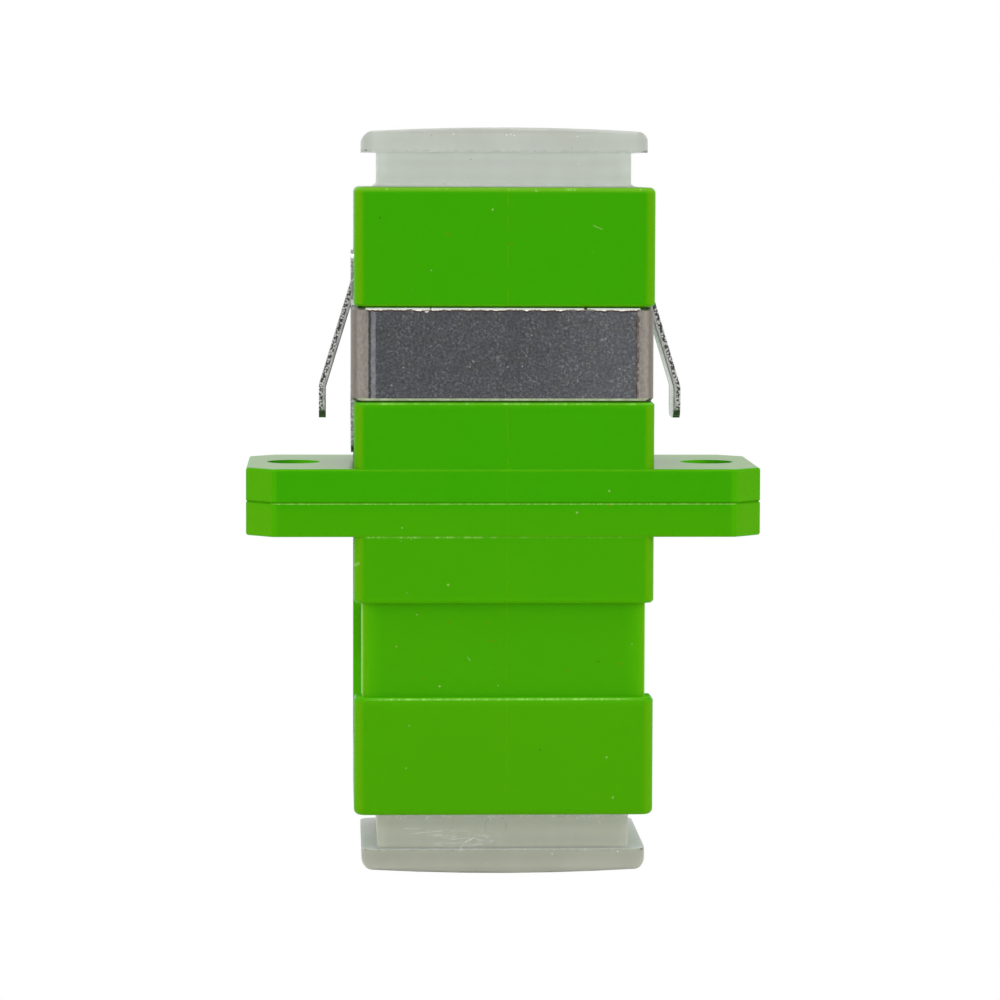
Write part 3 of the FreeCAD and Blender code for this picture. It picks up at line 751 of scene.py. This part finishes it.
def plainFinish(name, look):
    made, skin = material(name)
    fine = skin.noise(skin.place, 4.0, 4.0, 0.6)
    ground = skin.noise(skin.stretched(0.3, 0.3, look["rings"]), 3.0, 2.0, 0.6)
    low, high = (shaded(look["colour"], gain) for gain in (0.95, 1.03))
    tone = skin.mix((fine * 0.5 + ground * 0.5).rise(0.35, 0.65), low, high)
    rough = look["roughness"] + (fine - 0.5) * 0.1
    grain = skin.bump(fine * 0.5 + ground, *look["grain"])
    skin.finished(Base_Color=tone, Roughness=rough, Normal=grain)
    return made


greenMaterial = greenPlastic()
insertMaterial = plainFinish("insertPlastic", insert)
for half in ("upper", "lower"):
    dress(half + "_housing", greenMaterial)
    dress(half + "_latch_insert", insertMaterial)
dress("split_sleeve", plainFinish("ceramic", sleeve))
dress("mounting_clip", springSteel())
dress("upper_dust_cap", capPlastic("upperCapPlastic", upperCap))
dress("lower_dust_cap", capPlastic("lowerCapPlastic", lowerCap))


# white studio, darker in front, where mirrored light would come from; in metres and degrees
studio = {
    "floorHalf": 1.5,
    "floorColour": (0.85, 0.85, 0.85),
    "shadowShare": 0.25,
    "shadowReach": (0.007, 0.018),
    "ambient": 0.5,
    "darkSide": 0.3,
    "darkFloor": (-0.02, -0.12),
    "darkSky": (-0.2, -0.75),
    "cameraPlace": (-0.00721, -0.18465, 0.01417),
    "cameraTurn": (4.455, -2.232, 0.161),
    "focalLength": 153.0,
    "sensorWidth": 36.0,
    "nearest": 0.01,
    # name, azimuth (0 is in front, more is to the right), elevation, distance, size, watts, shown in gloss
    "lamps": [
        ("leftBox", -65, 20, 0.35, (0.2, 0.3), 0.42, False),
        ("rightBox", 65, 20, 0.35, (0.2, 0.3), 0.42, False),
        ("topBox", 0, 84, 0.35, (0.15, 0.15), 0.35, True),
        ("backBox", 180, 30, 0.4, (0.3, 0.3), 0.45, False),
    ],
}


def makeFloor():
    low, half = cadBox[0][2], studio["floorHalf"]
    mesh = bpy.data.meshes.new("floor")
    corners = [(-half, -half, low), (half, -half, low), (half, half, low), (-half, half, low)]
    mesh.from_pydata(corners, [], [(0, 1, 2, 3)])
    floor = bpy.data.objects.new("floor", mesh)
    bpy.context.scene.collection.objects.link(floor)
    mesh.materials.append(floorPaper())


# white in gloss, shaded close to the adapter, and clear to look through, so that the lower cap still shows
# when it is pulled down
def floorPaper():
    made, skin = material("floorPaper")
    ray = skin.node("ShaderNodeLightPath", output="Is Camera Ray")
    glossy = ray.output("Is Glossy Ray")
    seen = ray.most(glossy).most(ray.output("Is Transmission Ray"))
    spot = skin.node("ShaderNodeTexCoord", output="Object")
    _, y, _ = skin.split(spot)
    dim = glossy * y.rise(*studio["darkFloor"]) * (1 - studio["darkSide"])
    away = skin.node("ShaderNodeVectorMath", {"operation": "LENGTH"}, {0: spot}, output="Value")
    near, far = studio["shadowReach"]
    share = away.rise(far, near) * studio["shadowShare"]
    paper = skin.node("ShaderNodeBsdfDiffuse", inputs={"Color": (*studio["floorColour"], 1.0)})
    white = skin.node("ShaderNodeEmission", inputs={"Color": (1, 1, 1, 1), "Strength": 1 - dim})
    clear = skin.node("ShaderNodeBsdfTransparent")
    white = skin.node("ShaderNodeMixShader", inputs={0: ray, 1: white, 2: clear})
    blended = skin.node("ShaderNodeMixShader", inputs={0: seen * (1 - share), 1: paper, 2: white})
    under = skin.node("ShaderNodeNewGeometry", output="Backfacing")
    blended = skin.node("ShaderNodeMixShader", inputs={0: under, 1: blended, 2: clear})
    skin.node("ShaderNodeOutputMaterial", inputs={"Surface": blended})
    return made


def makeWorld():
    world = bpy.data.worlds.new("studio")
    bpy.context.scene.world = world
    skin = Finish(world)
    ray = skin.node("ShaderNodeLightPath", output="Is Camera Ray")
    _, y, _ = skin.split(skin.node("ShaderNodeTexCoord", output="Generated"))
    mirrored = 1 - y.rise(*studio["darkSky"]) * (1 - studio["darkSide"])
    glossy = ray.output("Is Glossy Ray")
    shown = ray.most(ray.output("Is Transmission Ray"))
    level = shown + (1 - shown) * (glossy * mirrored + (1 - glossy) * studio["ambient"])
    sky = skin.node("ShaderNodeBackground", inputs={"Color": (1, 1, 1, 1), "Strength": level})
    skin.node("ShaderNodeOutputWorld", inputs={"Surface": sky})


def softBox(name, azimuth, elevation, distance, size, watts, inGloss):
    turn, lift = math.radians(azimuth), math.radians(elevation)
    level = math.cos(lift)
    spot = Vector((math.sin(turn) * level, -math.cos(turn) * level, math.sin(lift))) * distance
    lamp = bpy.data.lights.new(name, "AREA")
    lamp.shape = "RECTANGLE"
    lamp.size, lamp.size_y = size
    lamp.energy = watts
    made = bpy.data.objects.new(name, lamp)
    made.location = spot
    made.visible_glossy = inGloss
    made.rotation_euler = (-spot).to_track_quat("-Z", "Y").to_euler()
    bpy.context.scene.collection.objects.link(made)


def makeCamera():
    lens = bpy.data.cameras.new("camera")
    lens.lens = studio["focalLength"]
    lens.sensor_width = studio["sensorWidth"]
    lens.clip_start = studio["nearest"]
    made = bpy.data.objects.new("camera", lens)
    pitch, azimuth, roll = (math.radians(angle) for angle in studio["cameraTurn"])
    turn = Matrix.Rotation(azimuth, 4, "Z") @ Matrix.Rotation(math.pi / 2 - pitch, 4, "X")
    turn = turn @ Matrix.Rotation(roll, 4, "Z")
    made.matrix_world = Matrix.Translation(studio["cameraPlace"]) @ turn
    bpy.context.scene.collection.objects.link(made)
    bpy.context.scene.camera = made


makeFloor()
makeWorld()
for lamp in studio["lamps"]:
    softBox(*lamp)
makeCamera()
bpy.context.scene.view_settings.view_transform = "Standard"
print("studio ready")
